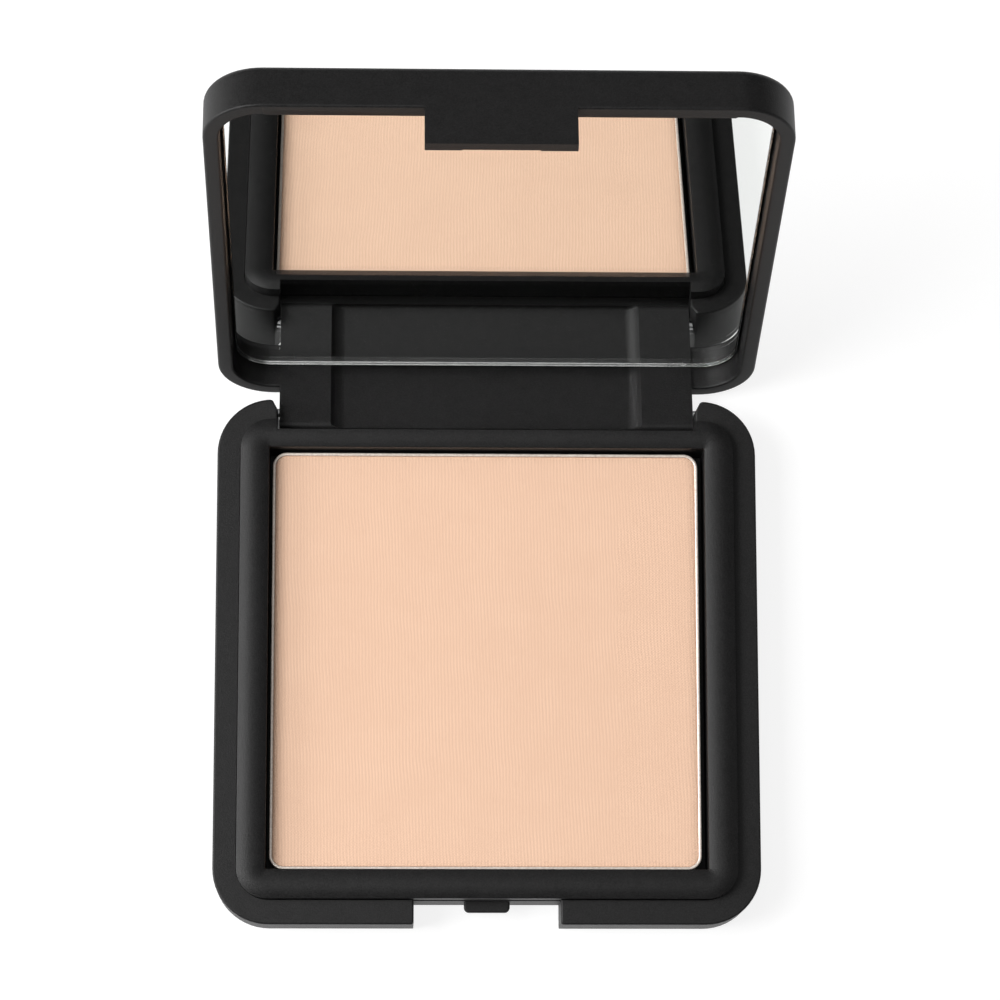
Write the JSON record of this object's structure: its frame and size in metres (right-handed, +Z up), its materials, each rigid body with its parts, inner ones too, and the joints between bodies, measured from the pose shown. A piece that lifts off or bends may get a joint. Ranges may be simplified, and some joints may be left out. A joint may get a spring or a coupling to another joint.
{
  "type": "powder compact",
  "caption": "Square pressed-powder compact, open: shallow base with framed pan, and a hinged lid that carries a mirror and a closing tab.",
  "frame": {"origin": "middle of the base's underside, on the surface it rests on", "axes": "+Z up from the base, +Y towards the hinge, +X to the right of someone looking into the mirror"},
  "size_m": [0.08, 0.1085, 0.0782],
  "materials": {
    "case_plastic": "soft-touch matte black",
    "pan_metal": "satin pressed metal",
    "pressed_powder": "matte powder with a fine woven imprint",
    "mirror": "silvered glass with ground edge",
    "tape": "foam tape",
    "adhesive": "dried glue",
    "label": "blank satin label",
    "pin_steel": "drawn wire"
  },
  "bodies": {
    "base": {"base_shell": "case_plastic", "pan_frame": "case_plastic", "powder_pan": "pan_metal", "pan_adhesive": "adhesive", "powder_cake": "pressed_powder", "base_label": "label", "hinge_pin_left": "pin_steel", "hinge_pin_right": "pin_steel"},
    "lid": {"lid_shell": "case_plastic", "mirror_glass": "mirror", "mirror_tape": "tape"}
  },
  "joints": [
    {"name": "lid_hinge", "type": "hinge", "parent": "base", "child": "lid", "pos_m": [0, 0.0377, 0.0042], "axis": [-1, 0, 0], "range_deg": [-106.5, 0.8]}
  ]
}
